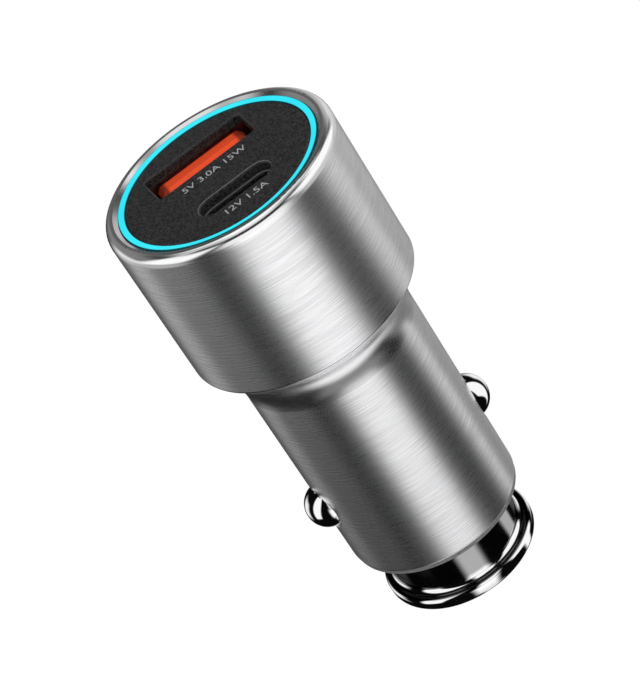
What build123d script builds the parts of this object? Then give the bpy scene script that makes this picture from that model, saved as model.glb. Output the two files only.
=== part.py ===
from build123d import *
import math
import os

# Car charger plug: a turned shell with a flared head, two sockets under a lit face,
# a circuit on two boards, and sprung contacts for the outlet.
# Millimetres. Z runs along the plug's axis towards the sockets and X along their long side.
# The origin is on the axis, where the straight barrel meets the flare.

# Fits between pieces
fit_gap = 0.05
slide_gap = 0.08
stop_gap = 0.04

# Shell
barrel_diameter = 20.8
barrel_length = 25.8
barrel_wall = 1.2
barrel_edge_round = 0.3
flare_radius = 7.5
head_diameter = 26.9
head_length = 19.4
head_wall = 1.75
head_floor = 0.7
head_edge_round = 0.5
rim_flat = 0.15
rim_bevel_width = 0.5
rim_bevel_depth = 0.3
window_bevel = 0.25

# Lit face
face_recess = 0.3
face_thickness = 1.1
face_edge_bevel = 0.15
cutout_bevel = 0.2
light_ring_width = 0.73
light_ring_slope = 0.13
ledge_width = 0.6
ledge_thickness = 0.8

# Sockets, with the larger one at +Y
socket_depth = 11.9
socket_edge_margin = 0.13
socket_pitch = 9.75
socket_wall = 0.3
leg_width = 1.0
leg_length = 1.9
leg_slot_gap = 0.15
usb_a_length = 12.5
usb_a_height = 5.12
usb_a_corner = 0.6
usb_a_cutout_length = 12.3
usb_a_cutout_height = 4.8
usb_a_cutout_corner = 0.4
usb_a_base_height = 3.2
tongue_a_length = 11.1
tongue_a_thickness = 1.84
tongue_a_back_gap = 0.5
tongue_a_depth = 1.35
tongue_a_bevel = 0.55
pin_a_pitch = 2.4
pin_a_count = 4
pin_a_width = 1.0
pin_a_thickness = 0.2
pin_a_setback = 1.4
usb_c_length = 8.34
usb_c_height = 2.56
usb_c_cutout_length = 8.75
usb_c_cutout_height = 2.95
usb_c_base_height = 4.0
tongue_c_length = 6.69
tongue_c_thickness = 0.7
tongue_c_depth = 0.6
tongue_c_bevel = 0.15
pin_c_pitch = 0.5
pin_c_count = 12
pin_c_width = 0.26
pin_c_thickness = 0.06
pin_c_setback = 0.7

# Boards
board_thickness = 1.2
board_edge_depth = 0.3
board_tab_width = 2.6
board_tab_rise = 0.5
led_count = 8
led_length = 1.6
led_width = 0.7
led_height = 0.6
led_gap = 0.25

# Core that carries the boards and guides the side contacts
core_wall = 1.1
core_cup_wall = 1.2
guide_wall = 0.9
guide_start = 2.4
guide_margin = 0.3

# Side contacts
side_contact_from_nose = 8.7
side_contact_radius = 2.7
side_contact_reach = 2.0
side_contact_wall = 0.6
side_flange_width = 0.5
side_flange_thickness = 0.6
side_spring_wire = 0.4
side_spring_turns = 4

# Nose
nose_flange_thickness = 0.45
nose_flange_inset = 0.15
boss_diameter = 13.2
boss_length = 5.4
chamber_roof = 1.8
tip_ring_length = 7.65
tip_ring_neck_diameter = 16.0
tip_ring_flange_width = 1.22
tip_ring_flange_flat = 0.02
tip_ring_flange = 1.8
tip_lip_thickness = 1.5
centre_contact_diameter = 7.8
centre_contact_wall = 0.8
centre_contact_drop = 5.1
centre_contact_dome = 2.6
centre_flange_width = 0.7
centre_flange_thickness = 0.8
centre_spring_wire = 0.6
centre_spring_turns = 4
terminal_thickness = 0.5
terminal_tab_width = 2.2
terminal_tab_offset = 3.3
terminal_tab_length = 6.5

# Circuit pieces on the main board, stacked upwards from the guides
circuit_clearance = 1.4
inductor_side = 7.0
inductor_height = 4.0
inductor_base = 1.0
inductor_core_diameter = 6.4
inductor_corner = 1.2
inductor_gap = 1.8
capacitor_diameter = 5.0
capacitor_height = 5.4
capacitor_base_side = 5.3
capacitor_base_height = 0.7
capacitor_base_corner = 0.9
capacitor_groove = 0.2
capacitor_groove_rise = 1.0
capacitor_pitch = 7.4
converter_length = 5.0
converter_width = 4.0
converter_height = 1.4
converter_gap = 1.0
controller_length = 4.0
controller_height = 0.9
controller_from_port_board = 2.4
chip_bevel = 0.25
chip_lead_count = 4
chip_lead_pitch = 1.0
chip_lead_width = 0.4
chip_lead_reach = 0.5
chip_lead_thickness = 0.2
fuse_length = 6.1
fuse_side = 2.6
fuse_cap_length = 1.4
fuse_waist = 0.15
fuse_offset = 2.4
passive_length = 1.6
passive_width = 0.8
passive_height = 0.6
passive_row_offset = 5.4
passive_pitch = 2.4
passive_count = 4
passive_row_rise = 3.0

# Radii
barrel_radius = barrel_diameter / 2
barrel_bore = barrel_radius - barrel_wall
head_radius = head_diameter / 2
head_bore = head_radius - head_wall
rim_round = head_wall - rim_bevel_width - rim_flat
light_ring_outer = head_bore - fit_gap
light_ring_inner = light_ring_outer - light_ring_width
face_radius = light_ring_inner - fit_gap
ledge_radius = light_ring_inner - ledge_width
core_radius = barrel_bore - fit_gap
core_bore = core_radius - core_wall
core_cup_radius = head_bore - fit_gap
core_cup_bore = core_cup_radius - core_cup_wall
port_board_radius = head_bore - fit_gap
led_circle = (light_ring_inner + light_ring_outer) / 2 - fit_gap
window_radius = side_contact_radius + slide_gap
side_flange_radius = side_contact_radius + side_flange_width
guide_bore = side_flange_radius + slide_gap
guide_radius = guide_bore + guide_wall
side_spring_radius = side_flange_radius - side_spring_wire
nose_flange_radius = barrel_radius - nose_flange_inset
boss_radius = boss_diameter / 2
centre_contact_radius = centre_contact_diameter / 2
centre_flange_radius = centre_contact_radius + centre_flange_width
chamber_bore = centre_flange_radius + slide_gap
lip_bore = centre_contact_radius + slide_gap
centre_spring_radius = centre_flange_radius - centre_spring_wire
tip_ring_neck_radius = tip_ring_neck_diameter / 2
tip_ring_radius = tip_ring_neck_radius + tip_ring_flange_width
tip_ring_round = (tip_ring_flange_width - tip_ring_flange_flat) / 2
tip_ring_bore = boss_radius + fit_gap

# Heights
flare_rise = math.sqrt(flare_radius**2 - (flare_radius - (head_radius - barrel_radius)) ** 2)
rim_z = flare_rise + head_length
face_z = rim_z - face_recess
face_bottom_z = face_z - face_thickness
ledge_bottom_z = face_bottom_z - ledge_thickness
port_board_top_z = face_z - socket_depth
port_board_bottom_z = port_board_top_z - board_thickness
cone_top_z = flare_rise + head_floor
cone_bottom_z = cone_top_z - (head_bore - barrel_bore)
nose_z = -barrel_length
side_contact_z = nose_z + side_contact_from_nose
core_bottom_z = side_contact_z - guide_radius - guide_margin
nose_plug_top_z = core_bottom_z - fit_gap
nose_flange_z = nose_z - nose_flange_thickness
boss_end_z = nose_flange_z - boss_length
chamber_roof_z = nose_plug_top_z - chamber_roof
tip_ring_end_z = nose_flange_z - tip_ring_length
lip_top_z = tip_ring_end_z + tip_lip_thickness
centre_flange_bottom_z = lip_top_z + stop_gap
centre_flange_top_z = centre_flange_bottom_z + centre_flange_thickness
centre_tip_z = tip_ring_end_z - centre_contact_drop
terminal_bottom_z = chamber_roof_z - terminal_thickness
circuit_z = side_contact_z + guide_radius + circuit_clearance
fuse_z = circuit_z + fuse_side / 2
inductor_z = circuit_z + fuse_side + inductor_gap + inductor_side / 2
converter_z = inductor_z + inductor_side / 2 + converter_gap + converter_length / 2
passive_row_z = inductor_z + passive_row_rise
input_capacitor_z = circuit_z + capacitor_base_side / 2
output_capacitor_z = input_capacitor_z + capacitor_pitch
controller_z = port_board_bottom_z - controller_from_port_board - controller_length / 2

# Places of the sockets and of the main board's faces
usb_a_outer_length = usb_a_length + 2 * socket_wall
usb_a_outer_height = usb_a_height + 2 * socket_wall
usb_c_outer_length = usb_c_length + 2 * socket_wall
usb_c_outer_height = usb_c_height + 2 * socket_wall
socket_circle = ledge_radius - socket_edge_margin
usb_a_y = math.sqrt(socket_circle**2 - (usb_a_outer_length / 2) ** 2) - usb_a_outer_height / 2
usb_c_y = usb_a_y - socket_pitch
socket_mouth_z = face_bottom_z - fit_gap
socket_space_top = usb_a_y - usb_a_outer_height / 2
socket_space_bottom = usb_c_y + usb_c_outer_height / 2
board_tab_y = (socket_space_top + socket_space_bottom) / 2
board_face = board_thickness / 2
board_half_width = core_bore + board_edge_depth
front = Plane(origin=(board_face, 0, 0), x_dir=(0, 1, 0), z_dir=(1, 0, 0))
back = Plane(origin=(-board_face, 0, 0), x_dir=(0, -1, 0), z_dir=(-1, 0, 0))

os.makedirs("parts", exist_ok=True)

# Outer shell: barrel, flare and head turned in one piece, with a window for each side contact
with BuildPart() as outer_shell:
    with BuildSketch(Plane.YZ) as shell_section:
        with BuildLine():
            Polyline((barrel_bore, nose_z), (barrel_radius, nose_z), (barrel_radius, 0))
            TangentArc((barrel_radius, 0), (head_radius, flare_rise), tangent=(0, 1))
            Polyline(
                (head_radius, flare_rise),
                (head_radius, rim_z),
                (head_bore + rim_bevel_width, rim_z),
                (head_bore, rim_z - rim_bevel_depth),
                (head_bore, cone_top_z),
                (barrel_bore, cone_bottom_z),
                (barrel_bore, nose_z),
            )
        make_face()
        fillet(shell_section.vertices().group_by(Axis.X)[-1].sort_by(Axis.Y)[-1], rim_round)
        fillet(shell_section.vertices().group_by(Axis.X)[-1].sort_by(Axis.Y)[0], head_edge_round)
        fillet(shell_section.vertices().group_by(Axis.Y)[0].sort_by(Axis.X)[-1], barrel_edge_round)
    revolve(axis=Axis.Z)
    with BuildSketch(Plane.YZ):
        with Locations((0, side_contact_z)):
            Circle(window_radius)
    extrude(amount=head_radius, both=True, mode=Mode.SUBTRACT)
    window_edges = outer_shell.edges(Select.LAST).filter_by(GeomType.BSPLINE).sort_by(Axis.X)
    chamfer([window_edges[0], window_edges[-1]], window_bevel)
outer_shell.part.label = "outer_shell"
export_step(outer_shell.part, "parts/outer_shell.step")

# Light ring: clear tube that stands on the port board, notched over the lamps, with a ledge for the face
with BuildPart() as light_ring:
    with BuildSketch(Plane.XZ):
        with BuildLine():
            Polyline(
                (light_ring_outer, port_board_top_z),
                (light_ring_outer, face_z + light_ring_slope),
                (light_ring_inner, face_z),
                (light_ring_inner, face_bottom_z),
                (ledge_radius, face_bottom_z),
                (ledge_radius, ledge_bottom_z),
                (light_ring_inner, ledge_bottom_z),
                (light_ring_inner, port_board_top_z),
                close=True,
            )
        make_face()
    revolve(axis=Axis.Z)
    with BuildSketch(Plane.XY.offset(port_board_top_z)):
        with PolarLocations(led_circle, led_count):
            Rectangle(2 * light_ring_width + led_width, led_length + 2 * led_gap)
    extrude(amount=led_height + led_gap, mode=Mode.SUBTRACT)
light_ring.part.label = "light_ring"
export_step(light_ring.part, "parts/light_ring.step")

# Face plate: disc with one cut-out for each socket
with BuildPart() as face_plate:
    with BuildSketch(Plane.XY.offset(face_bottom_z)):
        Circle(face_radius)
        with Locations((0, usb_a_y)):
            RectangleRounded(
                usb_a_cutout_length, usb_a_cutout_height, usb_a_cutout_corner, mode=Mode.SUBTRACT
            )
        with Locations((0, usb_c_y)):
            SlotOverall(usb_c_cutout_length, usb_c_cutout_height, mode=Mode.SUBTRACT)
    extrude(amount=face_thickness)
    top_face = face_plate.faces().sort_by(Axis.Z)[-1]
    chamfer(top_face.outer_wire().edges(), face_edge_bevel)
    chamfer(face_plate.faces().sort_by(Axis.Z)[-1].inner_wires().edges(), cutout_bevel)
face_plate.part.label = "face_plate"
export_step(face_plate.part, "parts/face_plate.step")

# Larger socket: folded shell with two legs through the port board
with BuildPart() as usb_a_shell:
    with BuildSketch(Plane.XY.offset(port_board_top_z)):
        with Locations((0, usb_a_y)):
            RectangleRounded(usb_a_outer_length, usb_a_outer_height, usb_a_corner + socket_wall)
            RectangleRounded(usb_a_length, usb_a_height, usb_a_corner, mode=Mode.SUBTRACT)
    extrude(amount=socket_mouth_z - port_board_top_z)
    with BuildSketch(Plane.XY.offset(port_board_top_z)):
        with Locations((0, usb_a_y)):
            with GridLocations(usb_a_outer_length - socket_wall, 0, 2, 1):
                Rectangle(socket_wall, leg_width)
    extrude(amount=-leg_length)
usb_a_shell.part.label = "usb_a_shell"
export_step(usb_a_shell.part, "parts/usb_a_shell.step")

# Larger socket: moulded base with the tongue that carries the pins
tongue_a_back_y = usb_a_y + usb_a_height / 2 - tongue_a_back_gap
tongue_a_front_y = tongue_a_back_y - tongue_a_thickness
tongue_a_end_z = face_z - tongue_a_depth
with BuildPart() as usb_a_insulator:
    with BuildSketch(Plane.XY.offset(port_board_top_z)):
        with Locations((0, usb_a_y)):
            RectangleRounded(usb_a_length - 2 * fit_gap, usb_a_height - 2 * fit_gap, usb_a_corner)
    extrude(amount=usb_a_base_height)
    with BuildSketch(Plane.YZ):
        with BuildLine():
            Polyline(
                (tongue_a_front_y, port_board_top_z),
                (tongue_a_front_y, tongue_a_end_z),
                (tongue_a_back_y, tongue_a_end_z),
                (tongue_a_back_y, port_board_top_z),
                close=True,
            )
        make_face()
    extrude(amount=tongue_a_length / 2, both=True)
    tongue_a_end = usb_a_insulator.faces().sort_by(Axis.Z)[-1]
    chamfer(tongue_a_end.edges().sort_by(Axis.Y)[:3], tongue_a_bevel)
usb_a_insulator.part.label = "usb_a_insulator"
export_step(usb_a_insulator.part, "parts/usb_a_insulator.step")

# Larger socket: sprung pins along the tongue
pin_a_bottom_z = port_board_top_z + usb_a_base_height
pin_a_top_z = tongue_a_end_z - pin_a_setback
with BuildPart() as usb_a_contacts:
    with BuildSketch(Plane.XZ.offset(-tongue_a_front_y)):
        with Locations((0, (pin_a_bottom_z + pin_a_top_z) / 2)):
            with GridLocations(pin_a_pitch, 0, pin_a_count, 1):
                Rectangle(pin_a_width, pin_a_top_z - pin_a_bottom_z)
    extrude(amount=pin_a_thickness)
usb_a_contacts.part.label = "usb_a_contacts"
export_step(usb_a_contacts.part, "parts/usb_a_contacts.step")

# Smaller socket: drawn shell with round ends and two legs
with BuildPart() as usb_c_shell:
    with BuildSketch(Plane.XY.offset(port_board_top_z)):
        with Locations((0, usb_c_y)):
            SlotOverall(usb_c_outer_length, usb_c_outer_height)
            SlotOverall(usb_c_length, usb_c_height, mode=Mode.SUBTRACT)
    extrude(amount=socket_mouth_z - port_board_top_z)
    with BuildSketch(Plane.XY.offset(port_board_top_z)):
        with Locations((0, usb_c_y)):
            with GridLocations(usb_c_outer_length - socket_wall, 0, 2, 1):
                Rectangle(socket_wall, leg_width)
    extrude(amount=-leg_length)
usb_c_shell.part.label = "usb_c_shell"
export_step(usb_c_shell.part, "parts/usb_c_shell.step")

# Smaller socket: moulded base with a thin middle tongue
tongue_c_end_z = socket_mouth_z - tongue_c_depth
with BuildPart() as usb_c_insulator:
    with BuildSketch(Plane.XY.offset(port_board_top_z)):
        with Locations((0, usb_c_y)):
            SlotOverall(usb_c_length - 2 * fit_gap, usb_c_height - 2 * fit_gap)
    extrude(amount=usb_c_base_height)
    with BuildSketch(Plane.XY.offset(port_board_top_z)):
        with Locations((0, usb_c_y)):
            Rectangle(tongue_c_length, tongue_c_thickness)
    extrude(amount=tongue_c_end_z - port_board_top_z)
    chamfer(usb_c_insulator.faces().sort_by(Axis.Z)[-1].edges(), tongue_c_bevel)
usb_c_insulator.part.label = "usb_c_insulator"
export_step(usb_c_insulator.part, "parts/usb_c_insulator.step")

# Smaller socket: a row of pins on each side of the tongue
pin_c_bottom_z = port_board_top_z + usb_c_base_height
pin_c_top_z = tongue_c_end_z - pin_c_setback
with BuildPart() as usb_c_contacts:
    with BuildSketch(Plane.XY.offset(pin_c_bottom_z)):
        with Locations((0, usb_c_y)):
            with GridLocations(pin_c_pitch, tongue_c_thickness + pin_c_thickness, pin_c_count, 2):
                Rectangle(pin_c_width, pin_c_thickness)
    extrude(amount=pin_c_top_z - pin_c_bottom_z)
usb_c_contacts.part.label = "usb_c_contacts"
export_step(usb_c_contacts.part, "parts/usb_c_contacts.step")

# Port board: round board slotted for the socket legs and for the main board's tab
with BuildPart() as port_board:
    with BuildSketch(Plane.XY.offset(port_board_bottom_z)):
        Circle(port_board_radius)
        with Locations((0, usb_a_y)):
            with GridLocations(usb_a_outer_length - socket_wall, 0, 2, 1):
                Rectangle(
                    socket_wall + 2 * leg_slot_gap, leg_width + 2 * leg_slot_gap, mode=Mode.SUBTRACT
                )
        with Locations((0, usb_c_y)):
            with GridLocations(usb_c_outer_length - socket_wall, 0, 2, 1):
                Rectangle(
                    socket_wall + 2 * leg_slot_gap, leg_width + 2 * leg_slot_gap, mode=Mode.SUBTRACT
                )
        with Locations((0, board_tab_y)):
            Rectangle(
                board_thickness + 2 * fit_gap, board_tab_width + 2 * fit_gap, mode=Mode.SUBTRACT
            )
    extrude(amount=board_thickness)
port_board.part.label = "port_board"
export_step(port_board.part, "parts/port_board.step")

# Ring lamps: one under each notch of the light ring
with BuildPart() as ring_lamps:
    with BuildSketch(Plane.XY.offset(port_board_top_z)):
        with PolarLocations(led_circle, led_count):
            Rectangle(led_width, led_length)
    extrude(amount=led_height)
ring_lamps.part.label = "ring_lamps"
export_step(ring_lamps.part, "parts/ring_lamps.step")

# Main board: upright board held in the core's grooves, with a tab through the port board
with BuildPart() as main_board:
    with BuildSketch(front):
        with BuildLine():
            tab_low = board_tab_y - board_tab_width / 2
            tab_high = board_tab_y + board_tab_width / 2
            Polyline(
                (-board_half_width, core_bottom_z),
                (board_half_width, core_bottom_z),
                (board_half_width, port_board_bottom_z),
                (tab_high, port_board_bottom_z),
                (tab_high, port_board_top_z + board_tab_rise),
                (tab_low, port_board_top_z + board_tab_rise),
                (tab_low, port_board_bottom_z),
                (-board_half_width, port_board_bottom_z),
                close=True,
            )
        make_face()
    extrude(amount=-board_thickness)
main_board.part.label = "main_board"
export_step(main_board.part, "parts/main_board.step")

# Power inductor: square base with a round ferrite body
with BuildPart() as power_inductor:
    with BuildSketch(front):
        with Locations((0, inductor_z)):
            RectangleRounded(inductor_side, inductor_side, inductor_corner)
    extrude(amount=inductor_base)
    with BuildSketch(front.offset(inductor_base)):
        with Locations((0, inductor_z)):
            Circle(inductor_core_diameter / 2)
    extrude(amount=inductor_height - 2 * inductor_base)
    with BuildSketch(front.offset(inductor_height - inductor_base)):
        with Locations((0, inductor_z)):
            RectangleRounded(inductor_side, inductor_side, inductor_corner)
    extrude(amount=inductor_base)
power_inductor.part.label = "power_inductor"
export_step(power_inductor.part, "parts/power_inductor.step")


# Surface capacitor: square base and a can with a rolled groove
def capacitor(height_on_board):
    with BuildPart() as can:
        with BuildSketch(back):
            with Locations((0, height_on_board)):
                RectangleRounded(capacitor_base_side, capacitor_base_side, capacitor_base_corner)
        extrude(amount=capacitor_base_height)
        with BuildSketch(back.offset(capacitor_base_height)):
            with Locations((0, height_on_board)):
                Circle(capacitor_diameter / 2)
        extrude(amount=capacitor_height - capacitor_base_height)
        with BuildSketch(back.offset(capacitor_base_height + capacitor_groove_rise)):
            with Locations((0, height_on_board)):
                Circle(capacitor_diameter / 2)
                Circle(capacitor_diameter / 2 - capacitor_groove, mode=Mode.SUBTRACT)
        extrude(amount=capacitor_groove, mode=Mode.SUBTRACT)
    return can


input_capacitor = capacitor(input_capacitor_z)
input_capacitor.part.label = "input_capacitor"
export_step(input_capacitor.part, "parts/input_capacitor.step")

output_capacitor = capacitor(output_capacitor_z)
output_capacitor.part.label = "output_capacitor"
export_step(output_capacitor.part, "parts/output_capacitor.step")

# Converter chip: bevelled body with leads on two sides
with BuildPart() as converter_chip:
    with BuildSketch(front):
        with Locations((0, converter_z)):
            Rectangle(converter_width, converter_length)
    extrude(amount=converter_height)
    chamfer(converter_chip.faces().sort_by(Axis.X)[-1].edges(), chip_bevel)
    with BuildSketch(front):
        with Locations((0, converter_z)):
            with GridLocations(0, chip_lead_pitch, 1, chip_lead_count):
                Rectangle(converter_width + 2 * chip_lead_reach, chip_lead_width)
    extrude(amount=chip_lead_thickness)
converter_chip.part.label = "converter_chip"
export_step(converter_chip.part, "parts/converter_chip.step")

# Charge controller: flat square chip on the other face
with BuildPart() as charge_controller:
    with BuildSketch(back):
        with Locations((0, controller_z)):
            Rectangle(controller_length, controller_length)
    extrude(amount=controller_height)
    chamfer(charge_controller.faces().sort_by(Axis.X)[0].edges(), chip_bevel)
charge_controller.part.label = "charge_controller"
export_step(charge_controller.part, "parts/charge_controller.step")

# Input fuse: ceramic block between two end caps
with BuildPart() as input_fuse:
    with BuildSketch(front):
        with Locations((fuse_offset, fuse_z)):
            Rectangle(fuse_length, fuse_side)
    extrude(amount=fuse_side)
    with BuildSketch(front.offset(fuse_side)):
        with Locations((fuse_offset, fuse_z)):
            Rectangle(fuse_length - 2 * fuse_cap_length, fuse_side)
    extrude(amount=-fuse_waist, mode=Mode.SUBTRACT)
input_fuse.part.label = "input_fuse"
export_step(input_fuse.part, "parts/input_fuse.step")

# Chip passives: a row of small parts along each edge of the board's front
with BuildPart() as chip_passives:
    with BuildSketch(front):
        with Locations((0, passive_row_z)):
            with GridLocations(2 * passive_row_offset, passive_pitch, 2, passive_count):
                Rectangle(passive_width, passive_length)
    extrude(amount=passive_height)
chip_passives.part.label = "chip_passives"
export_step(chip_passives.part, "parts/chip_passives.step")

# Core: moulded liner from the nose plug to the port board, grooved for the main board,
# with a round guide for each side contact
with BuildPart() as inner_core:
    with BuildSketch(Plane.YZ):
        with Locations((0, side_contact_z)):
            Circle(guide_radius)
    extrude(amount=core_radius, both=True)
    with BuildSketch(Plane.XY.offset(side_contact_z)):
        Circle(core_bore + core_wall / 2)
    extrude(amount=guide_radius, both=True, mode=Mode.INTERSECT)
    with BuildSketch(Plane.YZ):
        with Locations((0, side_contact_z)):
            Rectangle(2 * guide_radius, 2 * guide_radius)
    extrude(amount=guide_start, both=True, mode=Mode.SUBTRACT)
    with BuildSketch(Plane.YZ):
        with BuildLine():
            cone_rise = core_cup_bore - core_bore
            Polyline(
                (core_bore, core_bottom_z),
                (core_radius, core_bottom_z),
                (core_radius, cone_bottom_z),
                (core_cup_radius, cone_top_z),
                (core_cup_radius, port_board_bottom_z),
                (core_cup_bore, port_board_bottom_z),
                (core_cup_bore, cone_top_z + fit_gap),
                (core_bore, cone_top_z + fit_gap - cone_rise),
                close=True,
            )
        make_face()
    revolve(axis=Axis.Z)
    with BuildSketch(Plane.YZ):
        with Locations((0, side_contact_z)):
            Circle(guide_bore)
    extrude(amount=barrel_radius, both=True, mode=Mode.SUBTRACT)
    with BuildSketch(Plane.XY.offset(core_bottom_z)):
        Rectangle(board_thickness + 2 * fit_gap, 2 * (board_half_width + fit_gap))
    extrude(amount=port_board_bottom_z - core_bottom_z, mode=Mode.SUBTRACT)
inner_core.part.label = "inner_core"
export_step(inner_core.part, "parts/inner_core.step")

# Side contacts: drawn caps with a flange behind the shell wall, one on each side of X
side_contact_tip = barrel_radius + side_contact_reach
side_dome_centre = side_contact_tip - side_contact_radius
side_flange_front = math.sqrt(barrel_bore**2 - side_flange_radius**2) - stop_gap
side_flange_back = side_flange_front - side_flange_thickness


def side_contact(outward):
    axis_line = Axis((0, 0, side_contact_z), (1, 0, 0))
    inner_radius = side_contact_radius - side_contact_wall
    with BuildPart() as contact:
        with BuildSketch(Plane.XZ):
            with BuildLine():
                RadiusArc(
                    (outward * side_contact_tip, side_contact_z),
                    (outward * side_dome_centre, side_contact_z + side_contact_radius),
                    -outward * side_contact_radius,
                )
                Polyline(
                    (outward * side_dome_centre, side_contact_z + side_contact_radius),
                    (outward * side_flange_front, side_contact_z + side_contact_radius),
                    (outward * side_flange_front, side_contact_z + side_flange_radius),
                    (outward * side_flange_back, side_contact_z + side_flange_radius),
                    (outward * side_flange_back, side_contact_z + inner_radius),
                    (outward * side_dome_centre, side_contact_z + inner_radius),
                    (outward * side_dome_centre, side_contact_z),
                    (outward * side_contact_tip, side_contact_z),
                )
            make_face()
        revolve(axis=axis_line)
    return contact


side_contact_right = side_contact(1)
side_contact_right.part.label = "side_contact_right"
export_step(side_contact_right.part, "parts/side_contact_right.step")

side_contact_left = side_contact(-1)
side_contact_left.part.label = "side_contact_left"
export_step(side_contact_left.part, "parts/side_contact_left.step")


# Coil spring of square wire between two seats on a straight line
def coil_spring(start, end, coil_radius, wire, turns):
    length = (end - start).length - 2 * stop_gap - wire
    direction = (end - start).normalized()
    with BuildPart() as spring:
        with BuildLine() as coil:
            Helix(
                pitch=length / turns,
                height=length,
                radius=coil_radius - wire / 2,
                center=start + direction * (stop_gap + wire / 2),
                direction=direction,
            )
        with BuildSketch(Plane(origin=coil.line @ 0, z_dir=coil.line % 0)):
            Rectangle(wire, wire)
        sweep(is_frenet=True)
    return spring


side_spring_right = coil_spring(
    Vector(board_face, 0, side_contact_z),
    Vector(side_flange_back, 0, side_contact_z),
    side_spring_radius,
    side_spring_wire,
    side_spring_turns,
)
side_spring_right.part.label = "side_spring_right"
export_step(side_spring_right.part, "parts/side_spring_right.step")

side_spring_left = coil_spring(
    Vector(-board_face, 0, side_contact_z),
    Vector(-side_flange_back, 0, side_contact_z),
    side_spring_radius,
    side_spring_wire,
    side_spring_turns,
)
side_spring_left.part.label = "side_spring_left"
export_step(side_spring_left.part, "parts/side_spring_left.step")

# Nose insulator: plug in the barrel's end, a thin flange, and the boss that the tip ring screws on
with BuildPart() as nose_insulator:
    with BuildSketch(Plane.XZ):
        with BuildLine():
            Polyline(
                (0, chamber_roof_z),
                (chamber_bore, chamber_roof_z),
                (chamber_bore, boss_end_z),
                (boss_radius, boss_end_z),
                (boss_radius, nose_flange_z),
                (nose_flange_radius, nose_flange_z),
                (nose_flange_radius, nose_z),
                (core_radius, nose_z),
                (core_radius, nose_plug_top_z),
                (0, nose_plug_top_z),
                close=True,
            )
        make_face()
    revolve(axis=Axis.Z)
    with BuildSketch(Plane.XY.offset(chamber_roof_z)):
        with Locations((board_face + fit_gap + terminal_thickness / 2, terminal_tab_offset)):
            Rectangle(terminal_thickness + 2 * fit_gap, terminal_tab_width + 2 * fit_gap)
    extrude(amount=chamber_roof, mode=Mode.SUBTRACT)
nose_insulator.part.label = "nose_insulator"
export_step(nose_insulator.part, "parts/nose_insulator.step")

# Positive terminal: disc under the chamber's roof with a tab up to the main board
with BuildPart() as positive_terminal:
    with BuildSketch(Plane.XY.offset(terminal_bottom_z)):
        Circle(centre_flange_radius)
    extrude(amount=terminal_thickness)
    with BuildSketch(Plane.XY.offset(chamber_roof_z)):
        with Locations((board_face + fit_gap + terminal_thickness / 2, terminal_tab_offset)):
            Rectangle(terminal_thickness, terminal_tab_width)
    extrude(amount=terminal_tab_length)
positive_terminal.part.label = "positive_terminal"
export_step(positive_terminal.part, "parts/positive_terminal.step")

# Centre contact: round-nosed cup with a flange that rests on the tip ring's lip
with BuildPart() as centre_contact:
    centre_cup_radius = centre_contact_radius - centre_contact_wall
    dome_start_z = centre_tip_z + centre_contact_dome
    dome_radius = (centre_contact_radius**2 + centre_contact_dome**2) / (2 * centre_contact_dome)
    with BuildSketch(Plane.XZ):
        with BuildLine():
            RadiusArc((0, centre_tip_z), (centre_contact_radius, dome_start_z), -dome_radius)
            Polyline(
                (centre_contact_radius, dome_start_z),
                (centre_contact_radius, centre_flange_bottom_z),
                (centre_flange_radius, centre_flange_bottom_z),
                (centre_flange_radius, centre_flange_top_z),
                (centre_cup_radius, centre_flange_top_z),
                (centre_cup_radius, dome_start_z),
                (0, dome_start_z),
                (0, centre_tip_z),
            )
        make_face()
    revolve(axis=Axis.Z)
centre_contact.part.label = "centre_contact"
export_step(centre_contact.part, "parts/centre_contact.step")

# Centre spring: between the positive terminal and the centre contact's flange
centre_spring = coil_spring(
    Vector(0, 0, terminal_bottom_z),
    Vector(0, 0, centre_flange_top_z),
    centre_spring_radius,
    centre_spring_wire,
    centre_spring_turns,
)
centre_spring.part.label = "centre_spring"
export_step(centre_spring.part, "parts/centre_spring.step")

# Tip ring: nut on the boss with a rounded flange and a lip that holds the centre contact
with BuildPart() as tip_ring:
    with BuildSketch(Plane.XZ) as tip_section:
        with BuildLine():
            Polyline(
                (tip_ring_bore, nose_flange_z),
                (tip_ring_neck_radius, nose_flange_z),
                (tip_ring_neck_radius, tip_ring_end_z + tip_ring_flange),
                (tip_ring_radius, tip_ring_end_z + tip_ring_flange),
                (tip_ring_radius, tip_ring_end_z),
                (lip_bore, tip_ring_end_z),
                (lip_bore, lip_top_z),
                (tip_ring_bore, lip_top_z),
                close=True,
            )
        make_face()
        fillet(tip_section.vertices().group_by(Axis.X)[-1], tip_ring_round)
        neck_foot = tip_section.vertices().filter_by(
            lambda corner: abs(corner.X - tip_ring_neck_radius) < fit_gap
        )
        fillet(neck_foot.sort_by(Axis.Y)[0], tip_ring_round)
    revolve(axis=Axis.Z)
tip_ring.part.label = "tip_ring"
export_step(tip_ring.part, "parts/tip_ring.step")
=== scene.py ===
"""Looks of a car charger plug: brushed shell, lit face, sockets, sprung contacts, circuit and stage."""

import math

import bmesh
import bpy
from bpy.props import (
    FloatProperty,
    FloatVectorProperty,
    IntProperty,
    PointerProperty,
    StringProperty,
)
from bpy.types import NodeSocket, Operator, Panel, PropertyGroup
from mathutils import Matrix, Vector


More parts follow.
